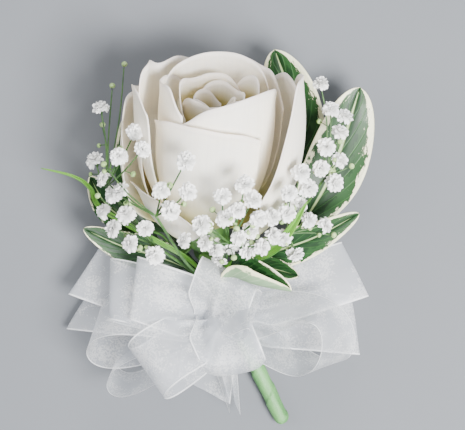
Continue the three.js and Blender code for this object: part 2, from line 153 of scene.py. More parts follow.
def petal_tissue(name, claw_and_shade_colour, green_from, green_by):
    """green_from and green_by are the shares of the height where the claw colour, on the inner petals also
    painted shade, begins and is full.
    """
    m = new_material(name)
    grain = add(m, "UVMap", uv_map="grain")["UV"]
    spread = add(m, "SeparateXYZ", {0: grain})
    fan = add(m, "Mapping", {"Vector": grain, "Scale": (1.0, 0.12, 1.0)})[0]
    waver = add(m, "TexNoise", {"Vector": fan, "Scale": 34.0, "Detail": 3.0, "Roughness": 0.6})["Fac"]
    veins = add(m, "MapRange", {0: waver, 1: 0.42, 2: 0.66, 3: 0.0, 4: 0.28})[0]
    tissue = add(m, "Mix", {0: veins, 6: CREAM, 7: VEIN}, data_type="RGBA")[2]
    # The claw colour mask; on the inner petals it also lays painted shade over the deep centre of the flower.
    climb = {0: spread["Y"], 1: green_from, 2: green_by, 3: 0.0, 4: 0.85}
    claw = add(m, "MapRange", climb, interpolation_type="SMOOTHSTEP")[0]
    greened = add(m, "Mix", {0: claw, 6: tissue, 7: claw_and_shade_colour}, data_type="RGBA")[2]
    rim = add(m, "MapRange", {0: spread["Y"], 1: 0.955, 2: 1.0, 3: 0.0, 4: 0.75})[0]
    colour = add(m, "Mix", {0: rim, 6: greened, 7: RIM_GREY}, data_type="RGBA")[2]
    cells = add(m, "TexNoise", {"Vector": grain, "Scale": 160.0, "Detail": 2.0})["Fac"]
    relief = add(m, "Math", {0: veins, 1: cells}, operation="ADD")[0]
    bump = add(m, "Bump", {"Height": relief, "Strength": 0.12, "Distance": 0.0004})[0]
    skin = add(
        m,
        "BsdfPrincipled",
        {
            "Base Color": colour,
            "Normal": bump,
            "Roughness": 0.52,
            "Subsurface Weight": 0.35,
            "Subsurface Radius": (0.0034, 0.0026, 0.0017),
            "Subsurface Scale": 1.0,
            "Sheen Weight": 0.12,
            "IOR": 1.4,
        },
    )
    return finish_with(m, skin[0])


PETAL = petal_tissue("rose petal tissue", paint("#C2BC55"), 0.72, 0.2)
# Inner petals: olive claw colour high up, partly their own colour and partly painted shade of the deep
# centre.
INNER_PETAL = petal_tissue("furled inner petal tissue with painted shade", paint("#B5A63E"), 1.0, 0.86)

HEAD_HEIGHT = 66
HEAD_BASE = Vector((-1.9, 25.4, 15.05))
HEAD_TURN = Quaternion((1, 0, 0), math.radians(30 - 90)) @ Quaternion((0, 1, 0), math.radians(3.5))
CONE_TOP = 20
CLAW_WIDTH = 0.16


def petal_profile(layer, rise):
    """Radius and height on a nested shell: layer 0 is the heart, 1 the outermost petal."""
    inward = 1 - layer
    claw = Vector((2 + 7 * layer, 1 + (CONE_TOP - 1) * inward))
    shoulder = claw + Vector((0.5 + 16 * layer, 1.5 + 4 * inward))
    belly = Vector((4.5 + 36 * layer, HEAD_HEIGHT * (0.42 + 0.15 * inward)))
    rim = Vector((3.5 + 27 * layer, HEAD_HEIGHT))
    f = 1 - rise
    return claw * f**3 + shoulder * 3 * f * f * rise + belly * 3 * f * rise * rise + rim * rise**3


def petal_shape(layer, bearing, spread, rim, roll=1.0, flare=0.0, ripple=0.3, sides=0.0, phase=0.0):
    """rim is the petal's height along its top edge, from its low bearing to its high one."""

    def point(s, t):
        top = between(rim, (s + 1) / 2)
        rise = t * top
        radius, height = petal_profile(layer, rise)
        share = CLAW_WIDTH + (1 - CLAW_WIDTH) * smooth(rise, 0, 0.5)
        angle = math.radians(bearing + s * spread * share)
        from_rim = (1 - t) * top * HEAD_HEIGHT
        turned = max(0.0, 1 - from_rim / (2.5 + 3 * abs(roll)))
        edge = abs(s) ** 7 * smooth(rise, 0.3, 0.8)
        wave = ripple * smooth(t, 0.55, 1.0) * math.sin(s * 6.3 + phase + 2.2 * math.sin(s * 3.1 + phase))
        crumple = 0.5 * ripple * noise.noise(Vector((s * 2.6, t * 2.2, layer * 31 + phase)))
        reach = radius + flare * smooth(rise, 0.45, 1.0) + wave + crumple + roll * turned**2 + sides * edge
        height += 0.6 * wave - 0.75 * abs(roll) * turned**3
        place = Vector((reach * math.cos(angle), -reach * math.sin(angle), height))
        return HEAD_BASE + HEAD_TURN @ place

    return point


INNER_PETALS = 6
GOLDEN_ANGLE = 137.5
petals = {}
for i in range(INNER_PETALS):
    crest = 0.88 + 0.015 * i
    petals[f"petal_inner_{i + 1}"] = petal_shape(
        layer=0.07 + 0.058 * i,
        bearing=40 + GOLDEN_ANGLE * i,
        spread=112 - 6 * i,
        rim=[crest - 0.1, crest - 0.01, crest + 0.01, crest - 0.015, crest, crest - 0.01, crest - 0.08],
        roll=0.5,
        ripple=0.15,
        phase=1.7 * i,
    )

petals["petal_back_tall"] = petal_shape(
    0.43, 265, 88, [0.82, 0.93, 0.98, 0.995, 1.0, 0.965, 0.85], roll=-0.5, flare=4, ripple=0.15, phase=0.6
)
petals["petal_left_narrow"] = petal_shape(
    0.49, 188, 64, [0.91, 0.985, 0.975, 0.955, 0.94, 0.9, 0.76], roll=0.7, flare=1.6, ripple=0.1, phase=2.0
)
petals["petal_front_upper"] = petal_shape(
    0.55, 52, 74, [0.86, 0.955, 0.99, 0.995, 0.98, 0.95, 0.88], roll=0.7, ripple=0.1, phase=4.0
)
petals["petal_front_lower"] = petal_shape(
    0.61, 100, 54, [0.84, 0.875, 0.89, 0.9, 0.9, 0.89, 0.865], roll=1.1, ripple=0.1, phase=0.3
)
petals["petal_back_right"] = petal_shape(
    0.66, 300, 47, [0.82, 0.93, 0.97, 0.975, 0.965, 0.95, 0.85], roll=0.6, ripple=0.2, phase=5.0
)
petals["petal_back_left"] = petal_shape(
    0.77, 217, 58, [0.85, 0.97, 1.0, 0.96, 0.97, 0.93, 0.85], roll=0.8, ripple=0.45, phase=1.1
)
petals["petal_left_upper"] = petal_shape(
    0.7, 190, 49, [0.93, 0.975, 0.965, 0.925, 0.885, 0.85, 0.81], roll=1.6, flare=4.2, ripple=0.2, phase=3.0
)
petals["petal_right_inner"] = petal_shape(
    0.81, 343, 46, [0.8, 0.9, 0.955, 0.96, 0.9, 0.8, 0.7], roll=0.6, ripple=0.2, phase=0.0
)
petals["petal_left_lower"] = petal_shape(
    0.86, 140, 48, [0.44, 0.54, 0.6, 0.61, 0.6, 0.56, 0.48], roll=1.4, ripple=0.3, phase=2.4
)
petals["petal_right_tall"] = petal_shape(
    0.91, 9, 48, [0.86, 0.96, 1.0, 1.02, 1.01, 0.89, 0.68], roll=0.8, ripple=0.15, sides=0.8, phase=1.0
)
petals["petal_under"] = petal_shape(
    0.955, 266, 48, [0.7, 0.8, 0.84, 0.84, 0.84, 0.8, 0.7], roll=0.8, ripple=0.3, phase=5.5
)
petals["petal_under_left"] = petal_shape(
    1.0, 208, 44, [0.78, 0.87, 0.88, 0.86, 0.82, 0.78, 0.7], roll=0.6, flare=-3, ripple=0.2, phase=4.4
)

PETAL_THICK = 0.34
for name, shape in petals.items():
    piece = grown_sheet(f"{name}_tissue", shape, 44, 36)
    thicken(piece, PETAL_THICK)
    piece.data.materials.append(INNER_PETAL if "inner_" in name else PETAL)
    stand_for(piece, "petal", name)


# ==== The heart of the rose ====
# The youngest petals, still furled into a bud round the middle. Each is one wrapped sheet of the same
# tissue, and together they stand on the tip of the cone.
HEART_PETALS = 3
HEART_TOP = 0.78


def heart_shape(turn):
    def point(s, t):
        angle = turn + s * 2.9
        tall = (HEART_TOP * HEAD_HEIGHT - CONE_TOP - 1) * (1 - 0.05 * s * s - 0.03 * turn)
        height = CONE_TOP + 1 + t * tall
        swell = 0.6 + 1.9 * math.sin(min(t * 1.25, 1.0) * math.pi * 0.62)
        radius = swell * (0.62 + 0.16 * s + 0.11 * turn) + 0.35 * smooth(t, 0.85, 1.0)
        place = Vector((radius * math.cos(angle), -radius * math.sin(angle), height))
        return HEAD_BASE + HEAD_TURN @ place

    return point


for i in range(HEART_PETALS):
    piece = grown_sheet(f"rose_heart_petal_{i + 1}", heart_shape(i * 2.1), 36, 24)
    thicken(piece, 0.25)
    piece.data.materials.append(INNER_PETAL)
    stand_for(piece, "petal", *(["rose_heart"] if i == 0 else []))


# ==== The hip and sepals ====
# The green cup that the petals grow from. It swells below them, and five pointed sepals turn back over it.
def round_body(name, ring, sides, rows, capped=True):
    """A closed skin of rings: ring(t) gives a centre, a radius and two directions, for t from 0 to 1."""
    corners, faces, shares = [], [], []
    for j in range(rows + 1):
        centre, radius_at, over, up = ring(j / rows)
        for i in range(sides):
            angle = 2 * math.pi * i / sides
            radius = radius_at(angle)
            corners.append(metres(centre + (over * math.cos(angle) + up * math.sin(angle)) * radius))
            shares.append((i / sides, j / rows))
    for j in range(rows):
        for i in range(sides):
            beside = (i + 1) % sides
            faces.append((j * sides + i, j * sides + beside, (j + 1) * sides + beside, (j + 1) * sides + i))
    if capped:
        faces.append(tuple(reversed(range(sides))))
        faces.append(tuple(rows * sides + i for i in range(sides)))
    mesh = bpy.data.meshes.new(name)
    mesh.from_pydata(corners, [], faces)
    uv = mesh.uv_layers.new(name="grain")
    for face in mesh.polygons:
        seam = max(shares[v][0] for v in face.vertices) > 0.75
        for k in face.loop_indices:
            u, v = shares[mesh.loops[k].vertex_index]
            uv.data[k].uv = (1.0 if seam and u == 0 else u, v)
    mesh.shade_smooth()
    made = bpy.data.objects.new(name, mesh)
    bpy.context.collection.objects.link(made)
    return made


# Green bark of a young rose stalk: smooth and waxy, mottled yellow-green with faint lengthwise streaks.
def green_bark(name, light, dark):
    m = new_material(name)
    place = add(m, "TexCoord")["Object"]
    mottle = add(m, "TexNoise", {"Vector": place, "Scale": 420.0, "Detail": 4.0})["Fac"]
    share = add(m, "MapRange", {0: mottle, 1: 0.35, 2: 0.65})[0]
    colour = add(m, "Mix", {0: share, 6: paint(light), 7: paint(dark)}, data_type="RGBA")[2]
    bump = add(m, "Bump", {"Height": mottle, "Strength": 0.15, "Distance": 0.0003})[0]
    skin = add(m, "BsdfPrincipled", {"Base Color": colour, "Normal": bump, "Roughness": 0.45})
    return finish_with(m, skin[0])


BARK = green_bark("green rose bark", "#557F38", "#33572A")
# Height from the petals' base and radius, from the stalk up to the tip of the cone.
HIP_OUTLINE = [(-9, 2.4), (-7.6, 3.6), (-5.5, 4.9), (-3, 5.3), (-1.2, 7), (0.2, 8), (6, 5.9), (19, 1.8)]


def hip_ring(t):
    height = between([h for h, _ in HIP_OUTLINE], t)
    radius = between([r for _, r in HIP_OUTLINE], t)
    over, up, axis = (HEAD_TURN @ Vector(way) for way in ((1, 0, 0), (0, 1, 0), (0, 0, 1)))
    return HEAD_BASE + axis * height, lambda angle: radius, over, up


hip = round_body("rose_hip", hip_ring, 32, 28)
hip.data.materials.append(BARK)
stand_for(hip, "green_stalk", "rose_calyx")

SEPALS = 5
FIRST_SEPAL = 18
SEPAL_FALL = 7
SEPAL_THICK = 0.5


def sepal_shape(bearing):
    def point(s, t):
        across = s * (0.15 + 2.9 * math.sin(math.pi * (0.2 + 0.8 * t)) * (1 + 0.08 * math.sin(9 * t)))
        out = 6.4 + 3.6 * math.sin(1.6 * t) + 0.5 * abs(s)
        place = Vector((
            out * math.cos(bearing) + across * math.sin(bearing),
            across * math.cos(bearing) - out * math.sin(bearing),
            -1.5 - SEPAL_FALL * t * t,
        ))
        return HEAD_BASE + HEAD_TURN @ place

    return point


for i in range(SEPALS):
    bearing = math.radians(FIRST_SEPAL + 360 / SEPALS * i)
    sepal = grown_sheet(f"rose_sepal_{i + 1}", sepal_shape(bearing), 10, 18)
    thicken(sepal, SEPAL_THICK)
    sepal.data.materials.append(BARK)
    stand_for(sepal, "green_stalk")


# ==== The stem under its tape ====
# The rose's short stalk and a florist's wire lie side by side, wound together in pale green paper tape. The
# tape is stretched as it is wound, so each turn laps the last with a low ridge, and its tip is pinched round.
STEM_LINE = [(-2.2, 15.2, 8.2), (0.4, 8, 5.9), (6.2, -2, 5), (15.6, -21, 4.1), (25.9, -42.2, 2.95)]


def along_line(points, t):
    return Vector([between([p[k] for p in points], t) for k in range(3)])


def line_ring(points, radius_at):
    """Rings for round_body that follow a line of points."""

    def ring(t):
        ahead = along_line(points, min(t + 0.01, 1)) - along_line(points, max(t - 0.01, 0))
        ahead.normalize()
        over = ahead.cross(Vector((0, 0, 1)))
        if over.length < 0.2:
            over = ahead.cross(Vector((0, 1, 0)))
        over.normalize()
        up = ahead.cross(over).normalized()
        return along_line(points, t), lambda angle: radius_at(t, angle), over, up

    return ring


TAPE_TOP_RADIUS = 3.7
TAPE_TIP_RADIUS = 2.9
TAPE_TURNS = 9
LAP_HEIGHT = 0.32


def tape_radius(t, angle):
    lap = (t * TAPE_TURNS - angle / (2 * math.pi)) % 1.0
    girth = TAPE_TOP_RADIUS + (TAPE_TIP_RADIUS - TAPE_TOP_RADIUS) * t
    tip = min(max((t - 0.955) / 0.045, 0.0), 0.999)
    pucker = 0.05 * noise.noise(Vector((3 * math.cos(angle), 3 * math.sin(angle), t * 26)))
    return (girth - LAP_HEIGHT + LAP_HEIGHT * (1 - lap) ** 1.5 + pucker) * math.sqrt(1 - tip * tip)


# Stretched crepe paper with wax in it: pale sage, dull with a faint gloss, crinkled across its length.
def floral_tape():
    m = new_material("waxed crepe tape")
    grain = add(m, "UVMap", uv_map="grain")["UV"]
    lay = {"Vector": grain, "Scale": (10.0, 70.0, 1.0), "Rotation": (0.0, 0.0, 0.12)}
    crepe = add(m, "Mapping", lay)[0]
    crinkle = add(m, "TexNoise", {"Vector": crepe, "Scale": 3.0, "Detail": 5.0, "Roughness": 0.65})["Fac"]
    blotch = add(m, "TexNoise", {"Vector": grain, "Scale": 7.0, "Detail": 3.0})["Fac"]
    share = add(m, "MapRange", {0: blotch, 1: 0.3, 2: 0.7})[0]
    body = add(m, "Mix", {0: share, 6: paint("#457C40"), 7: paint("#6AA060")}, data_type="RGBA")[2]
    pale = add(m, "MapRange", {0: crinkle, 1: 0.5, 2: 0.75, 3: 0.0, 4: 0.5})[0]
    colour = add(m, "Mix", {0: pale, 6: body, 7: paint("#94C08A")}, data_type="RGBA")[2]
    bump = add(m, "Bump", {"Height": crinkle, "Strength": 0.35, "Distance": 0.0004})[0]
    skin = add(
        m,
        "BsdfPrincipled",
        {
            "Base Color": colour,
            "Normal": bump,
            "Roughness": 0.5,
            "Subsurface Weight": 0.15,
            "Subsurface Radius": (0.001, 0.0015, 0.001),
            "Subsurface Scale": 1.0,
        },
    )
    return finish_with(m, skin[0])


tape = round_body("stem_tape_wrap", line_ring(STEM_LINE, tape_radius), 40, 220)
tape.data.materials.append(floral_tape())
stand_for(tape, "floral_tape", "stem_tape")

stalk_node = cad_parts["rose_stem"]
stalk_node.data.materials.clear()
stalk_node.data.materials.append(BARK)


# Enamelled steel wire: dark green paint with a soft shine, worn a little unevenly.
def enamelled_wire():
    m = new_material("enamelled florist wire")
    place = add(m, "TexCoord")["Object"]
    wear = add(m, "TexNoise", {"Vector": place, "Scale": 900.0, "Detail": 2.0})["Fac"]
    colour = add(m, "Mix", {0: wear, 6: paint("#2F4A2C"), 7: paint("#4C6B46")}, data_type="RGBA")[2]
    return finish_with(m, add(m, "BsdfPrincipled", {"Base Color": colour, "Roughness": 0.3})[0])


WIRE_ENAMEL = enamelled_wire()
wire_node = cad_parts["stem_wire"]
wire_node.data.materials.clear()
wire_node.data.materials.append(WIRE_ENAMEL)


# ==== The variegated leaves ====
# Leathery leaves of variegated pittosporum: dark green with a soft gloss above and a ragged cream edge, pale
# grey-green below. Each has its own stalk, which goes in under the tape beside the rose's.
LEAF_THICK = 0.45


# Leaf skin: a thin wax coat gives the upper side its soft shine. The green is darkest along the midrib and
# breaks into lighter patches before the cream edge. Side veins slant off the midrib and dent the surface.
def leaf_skin(name, cream_from):
    m = new_material(name)
    grain = add(m, "UVMap", uv_map="grain")["UV"]
    share = add(m, "SeparateXYZ", {0: grain})
    centred = add(m, "Math", {0: share["X"], 1: 0.5}, operation="SUBTRACT")[0]
    half = add(m, "Math", {0: centred}, operation="ABSOLUTE")[0]
    out = add(m, "Math", {0: half, 1: 2.0}, operation="MULTIPLY")[0]
    stretched = add(m, "Mapping", {"Vector": grain, "Scale": (3.0, 5.0, 1.0)})[0]
    ragged = add(m, "TexNoise", {"Vector": stretched, "Scale": 3.2, "Detail": 6.0, "Roughness": 0.7})["Fac"]
    swing = add(m, "MapRange", {0: ragged, 1: 0.3, 2: 0.7, 3: -0.22, 4: 0.22})[0]
    edge = add(m, "Math", {0: out, 1: swing}, operation="ADD")[0]
    tip = add(m, "MapRange", {0: share["Y"], 1: 0.72, 2: 1.0, 3: 0.0, 4: 0.3})[0]
    reach = add(m, "Math", {0: edge, 1: tip}, operation="ADD")[0]
    patch = add(m, "MapRange", {0: reach, 1: cream_from - 0.34, 2: cream_from - 0.3, 3: 0.0, 4: 0.55})[0]
    cream = add(m, "MapRange", {0: reach, 1: cream_from, 2: cream_from + 0.04})[0]
    shade = add(m, "TexNoise", {"Vector": grain, "Scale": 9.0, "Detail": 3.0})["Fac"]
    deep = add(m, "Mix", {0: shade, 6: paint("#081D0C"), 7: paint("#183F1A")}, data_type="RGBA")[2]
    patched = add(m, "Mix", {0: patch, 6: deep, 7: paint("#2A5227")}, data_type="RGBA")[2]
    slant = add(m, "Math", {0: half, 1: -0.5}, operation="MULTIPLY")[0]
    ladder = add(m, "Math", {0: share["Y"], 1: slant}, operation="ADD")[0]
    turns = add(m, "Math", {0: ladder, 1: 76.0}, operation="MULTIPLY")[0]
    wave = add(m, "Math", {0: turns}, operation="SINE")[0]
    side_vein = add(m, "MapRange", {0: wave, 1: 0.86, 2: 1.0, 3: 0.0, 4: 0.4})[0]
    veined = add(m, "Mix", {0: side_vein, 6: patched, 7: paint("#436F3A")}, data_type="RGBA")[2]
    edged = add(m, "Mix", {0: cream, 6: veined, 7: paint("#E9E6C4")}, data_type="RGBA")[2]
    rib = add(m, "MapRange", {0: out, 1: 0.075, 2: 0.03, 3: 0.0, 4: 0.85})[0]
    colour = add(m, "Mix", {0: rib, 6: edged, 7: paint("#A9BE86")}, data_type="RGBA")[2]
    dent = add(m, "Math", {0: side_vein, 1: rib}, operation="ADD")[0]
    bump = add(m, "Bump", {"Height": dent, "Strength": 0.5, "Distance": 0.0004}, invert=True)[0]
    skin = add(
        m,
        "BsdfPrincipled",
        {
            "Base Color": colour,
            "Normal": bump,
            "Roughness": 0.45,
            "Specular IOR Level": 0.3,
            "Coat Weight": 0.05,
        },
    )
    return finish_with(m, skin[0])


# The underside has no shine: pale grey-green felt with raised veins and the same cream edge.
def leaf_underside():
    m = new_material("leaf underside")
    grain = add(m, "UVMap", uv_map="grain")["UV"]
    share = add(m, "SeparateXYZ", {0: grain})
    centred = add(m, "Math", {0: share["X"], 1: 0.5}, operation="SUBTRACT")[0]
    half = add(m, "Math", {0: centred}, operation="ABSOLUTE")[0]
    ragged = add(m, "TexNoise", {"Vector": grain, "Scale": 14.0, "Detail": 5.0})["Fac"]
    swing = add(m, "MapRange", {0: ragged, 1: 0.3, 2: 0.7, 3: -0.05, 4: 0.05})[0]
    edge = add(m, "Math", {0: half, 1: swing}, operation="ADD")[0]
    cream = add(m, "MapRange", {0: edge, 1: 0.43, 2: 0.45})[0]
    felt = add(m, "Mix", {0: ragged, 6: paint("#64835F"), 7: paint("#86A07E")}, data_type="RGBA")[2]
    slant = add(m, "Math", {0: half, 1: -0.5}, operation="MULTIPLY")[0]
    ladder = add(m, "Math", {0: share["Y"], 1: slant}, operation="ADD")[0]
    turns = add(m, "Math", {0: ladder, 1: 76.0}, operation="MULTIPLY")[0]
    wave = add(m, "Math", {0: turns}, operation="SINE")[0]
    vein = add(m, "MapRange", {0: wave, 1: 0.8, 2: 1.0, 3: 0.0, 4: 0.35})[0]
    veined = add(m, "Mix", {0: vein, 6: felt, 7: paint("#A4B896")}, data_type="RGBA")[2]
    colour = add(m, "Mix", {0: cream, 6: veined, 7: paint("#DDDDB4")}, data_type="RGBA")[2]
    bump = add(m, "Bump", {"Height": vein, "Strength": 0.3, "Distance": 0.0003})[0]
    skin = add(m, "BsdfPrincipled", {"Base Color": colour, "Normal": bump, "Roughness": 0.65})
    return finish_with(m, skin[0])


LEAF_MOTTLED = leaf_skin("leaf skin with a broad cream edge", 0.86)
LEAF_GREEN = leaf_skin("leaf skin with a thin cream edge", 1.04)
LEAF_BELOW = leaf_underside()


def leaf_shape(line, side, width, stalk, cup=0.15, slim=0.85, wavy=0.5, fold=0.0):
    """line is the midrib, side the way across it, cup how far the edges lift, fold how far they close up."""

    def point(s, t):
        ahead = along_line(line, min(t + 0.01, 1)) - along_line(line, max(t - 0.01, 0))
        ahead.normalize()
        over = Vector(side).normalized()
        over = (over - ahead * over.dot(ahead)).normalized()
        face = over.cross(ahead).normalized()
        blade = smooth(t, stalk - 0.12, stalk + 0.12) * min(max((t - stalk) / (1 - stalk), 0.0), 1.0)
        half = 0.5 * (1 - blade) + width / 2 * max(math.sin(math.pi * blade**slim), 0) ** 0.7
        bend = fold * abs(s) * smooth(blade, 0.0, 0.3)
        flutter = wavy * abs(s) ** 2 * half / 10 * math.sin(17 * t + (2 if s > 0 else 0))
        dip = -0.35 * math.exp(-((s / 0.12) ** 2)) * smooth(blade, 0.0, 0.2)
        sideways = s * half * math.cos(bend)
        lift = abs(s) * half * math.sin(bend) + cup * half * abs(s) ** 1.5 + flutter + dip
        return along_line(line, t) + over * sideways + face * lift

    return point


leaves = {
    "leaf_right_upper": (LEAF_MOTTLED, leaf_shape(
        [(5.8, 11, 5.4), (24, 22, 7), (41, 46, 13), (52.5, 80, 19)],
        (1, -0.4, -0.2), 22, 0.34, slim=1.4, wavy=0.8)),
    "leaf_top_right": (LEAF_MOTTLED, leaf_shape(
        [(5, 14.4, 4), (22, 36, 3), (31, 64, 5), (22, 93.5, 19)],
        (1, 0.1, 0.25), 20, 0.4, cup=0.05, slim=1.3)),
    "leaf_right_lower": (LEAF_MOTTLED, leaf_shape(
        [(5.4, 12.4, 9.6), (12, 17, 14), (21, 21, 20), (36, 26.5, 24), (51.5, 35, 27)],
        (0.4, -0.8, -0.2), 13, 0.26)),
    "leaf_left_lower": (LEAF_GREEN, leaf_shape(
        [(-5.9, 12.6, 10.2), (-10.6, 15.6, 15.4), (-20, 19.7, 18.6), (-33, 23.5, 19.4), (-46, 29.6, 22)],
        (0.3, 0.9, 0), 12, 0.26, cup=0.0)),
    "leaf_left_upper": (LEAF_GREEN, leaf_shape(
        [(-6, 13.6, 6.2), (-20, 25, 7), (-37, 36.5, 13), (-43.5, 48, 25)],
        (0.8, 0.3, -0.4), 11, 0.35, cup=0.3)),
    "leaf_under_left": (LEAF_GREEN, leaf_shape(
        [(-5, 15, 3.6), (-18, 30, 2), (-27, 48, 2), (-31, 72, 6.5)],
        (1, 0.1, -0.15), 18, 0.3, cup=0.05, wavy=0.2)),
    "leaf_front_curled": (LEAF_GREEN, leaf_shape(
        [(2.6, 12.6, 13.8), (4, 14.5, 26), (7.5, 14.3, 35), (14.5, 11.5, 38), (27, 8.5, 40)],
        (0.1, -0.7, 0.7), 15, 0.4, fold=1.2)),
    "leaf_front_small": (LEAF_GREEN, leaf_shape(
        [(4.2, 9.4, 11.6), (11, 13.6, 19.5), (20, 15.5, 24), (30, 13, 29)], (-0.1, -0.9, 0.3), 8, 0.3)),
}
for name, (skin, shape) in leaves.items():
    piece = grown_sheet(f"{name}_blade", shape, 26, 64)
    piece.data.materials.append(skin)
    piece.data.materials.append(LEAF_BELOW)
    thicken(piece, LEAF_THICK, under_slot=1)
    stand_for(piece, "leaf", name)


# ==== The blades of grass ====
# Two narrow blades tucked in with the leaves: a short bright one beside the rose and a thin one that curls
# out to the left. Each is a flat living strip, creased along its middle.
def grass_skin():
    m = new_material("grass blade")
    grain = add(m, "UVMap", uv_map="grain")["UV"]
    ribs = add(m, "Mapping", {"Vector": grain, "Scale": (1.0, 0.05, 1.0)})[0]
    streak = add(m, "TexNoise", {"Vector": ribs, "Scale": 30.0, "Detail": 2.0})["Fac"]
    share = add(m, "MapRange", {0: streak, 1: 0.4, 2: 0.6})[0]
    colour = add(m, "Mix", {0: share, 6: paint("#3B7420"), 7: paint("#6BA035")}, data_type="RGBA")[2]
    bump = add(m, "Bump", {"Height": streak, "Strength": 0.3, "Distance": 0.0002})[0]
    skin = add(m, "BsdfPrincipled", {"Base Color": colour, "Normal": bump, "Roughness": 0.38})
    return finish_with(m, skin[0])


GRASS = grass_skin()
grass_blades = {
    "grass_blade_right": leaf_shape(
        [(3, 14, 13.6), (10.6, 18.8, 25), (20, 23, 38), (26, 29, 46.5), (32, 39, 50)],
        (1, -0.5, -0.1), 4.6, 0.05, slim=0.6, wavy=0.0, fold=0.4),
    "grass_blade_left": leaf_shape(
        [(-3.4, 12.8, 12), (-10, 19.5, 19.6), (-24, 27.5, 23.6), (-39.8, 37, 23),
         (-43.4, 44, 25), (-49.4, 48.1, 25), (-61, 51, 23)],
        (0.7, 0.7, 0), 1.3, 0.05, wavy=0.0, fold=0.3),
}
for name, shape in grass_blades.items():
    piece = grown_sheet(f"{name}_strip", shape, 8, 80)
    piece.data.materials.append(GRASS)
    thicken(piece, 0.3)
    stand_for(piece, "grass", name)


# ==== The baby's breath ====
# Sprays of gypsophila: thin green stalks that fork and fork again, each twig ending in a double white flower
# in a small green cup, or in a bud. The stalks go in under the tape.
class Bunch:
    """Gathers the faces of one spray, with a material slot for each."""

    def __init__(self):
        self.corners, self.faces, self.slots = [], [], []

    def tube(self, points, thick, thin, slot, sides=6, steps=6):
        start = len(self.corners)
        ring = line_ring(points, lambda t, angle: thick + (thin - thick) * t)
        for j in range(steps + 1):
            centre, radius_at, over, up = ring(j / steps)
            for i in range(sides):
                angle = 2 * math.pi * i / sides
                out = over * math.cos(angle) + up * math.sin(angle)
                self.corners.append(centre + out * radius_at(angle))
        for j in range(steps):
            for i in range(sides):
                a, b = start + j * sides + i, start + j * sides + (i + 1) % sides
                self.faces.append((a, b, b + sides, a + sides))
                self.slots.append(slot)
        self.faces.append(tuple(start + i for i in reversed(range(sides))))
        self.faces.append(tuple(start + steps * sides + i for i in range(sides)))
        self.slots += [slot, slot]

    def patch(self, grid, slot):
        start, row = len(self.corners), len(grid[0])
        for line in grid:
            self.corners += line
        for j in range(len(grid) - 1):
            for i in range(row - 1):
                a = start + j * row + i
                self.faces.append((a, a + 1, a + row + 1, a + row))
                self.slots.append(slot)

    def mesh(self, name, materials):
        mesh = bpy.data.meshes.new(name)
        mesh.from_pydata([metres(c) for c in self.corners], [], self.faces)
        for material in materials:
            mesh.materials.append(material)
        mesh.polygons.foreach_set("material_index", self.slots)
        mesh.shade_smooth()
        made = bpy.data.objects.new(name, mesh)
        bpy.context.collection.objects.link(made)
        return made


# Flower tissue as thin as paper: bright matt white, and light comes through it.
def white_floret():
    m = new_material("gypsophila floret")
    place = add(m, "TexCoord")["Object"]
    shade = add(m, "TexNoise", {"Vector": place, "Scale": 700.0, "Detail": 3.0})["Fac"]
    colour = add(m, "Mix", {0: shade, 6: paint("#FFFFFF"), 7: paint("#E9E9E4")}, data_type="RGBA")[2]
    bump = add(m, "Bump", {"Height": shade, "Strength": 0.2, "Distance": 0.0002})[0]
    skin = add(
        m,
        "BsdfPrincipled",
        {
            "Base Color": colour,
            "Normal": bump,
            "Roughness": 0.7,
            "Subsurface Weight": 0.3,
            "Subsurface Radius": (0.001, 0.001, 0.001),
            "Subsurface Scale": 1.0,
        },
    )
    return finish_with(m, skin[0])


FLORET = white_floret()
TWIG_GREEN = green_bark("gypsophila twig", "#446B30", "#2A4B22")
BUD_GREEN = green_bark("gypsophila bud", "#B4CB8E", "#7D9E58")
TWIG, FLORET_SLOT, BUD_SLOT = 0, 1, 2
# Each whorl's number of petals, their lean in degrees and their length.
WHORLS = [(9, 96, 2.9), (9, 72, 2.8), (7, 48, 2.6), (6, 26, 2.3), (3, 8, 2.0)]


def open_flower(bunch, at, facing, size, chance):
    """A double flower: whorls of notched, crinkled petals over a green cup."""
    across = facing.orthogonal().normalized()
    up = facing.cross(across)
    for count, lean, length in WHORLS:
        turn = chance.uniform(0, 6.28)
        for i in range(count):
            bearing = turn + 2 * math.pi * (i + chance.uniform(-0.3, 0.3)) / count
            tilt = math.radians(lean + chance.uniform(-13, 13))
            out = across * math.cos(bearing) + up * math.sin(bearing)
            beside = facing.cross(out)
            reach = size * length * chance.uniform(0.85, 1.08)
            twist = chance.uniform(-0.35, 0.35)
            grid = []
            for t, wide in ((0.0, 0.25), (0.45, 0.85), (0.8, 1.15), (1.0, 0.8)):
                bend = tilt * (0.6 + 0.5 * t)
                ahead = out * math.sin(bend) + facing * math.cos(bend)
                middle = at + ahead * reach * t - facing * 0.9 * size
                half = size * wide
                notch = ahead * (-0.13 * reach if t == 1.0 else 0.0)
                lift = facing * (0.25 * half)
                grid.append([
                    middle - beside * half + (facing * twist + ahead * 0.1) * half + lift,
                    middle - beside * half * 0.45 + ahead * (0.08 * half),
                    middle + notch + lift * 0.3,
                    middle + beside * half * 0.45 + ahead * (0.08 * half),
                    middle + beside * half - (facing * twist - ahead * 0.1) * half + lift,
                ])
            bunch.patch(grid, FLORET_SLOT)
    back = [at - facing * (2.8 * size), at - facing * (0.7 * size)]
    bunch.tube(back, 0.4 * size, 1.0 * size, TWIG, sides=7, steps=2)


def closed_bud(bunch, at, facing, size):
    back, front = at - facing * size, at + facing * size
    bunch.tube([back, at, front], 0.15, 0.15, BUD_SLOT, sides=6, steps=2)
    ring = line_ring([back, at, front], lambda t, angle: 0.2 + size * math.sin(math.pi * (0.1 + 0.8 * t)))
    grid = []
    for j in range(7):
        centre, radius_at, over, up = ring(j / 6)
        angles = [2 * math.pi * i / 9 for i in range(10)]
        grid.append([centre + (over * math.cos(a) + up * math.sin(a)) * radius_at(a) for a in angles])
    bunch.patch(grid, BUD_SLOT)


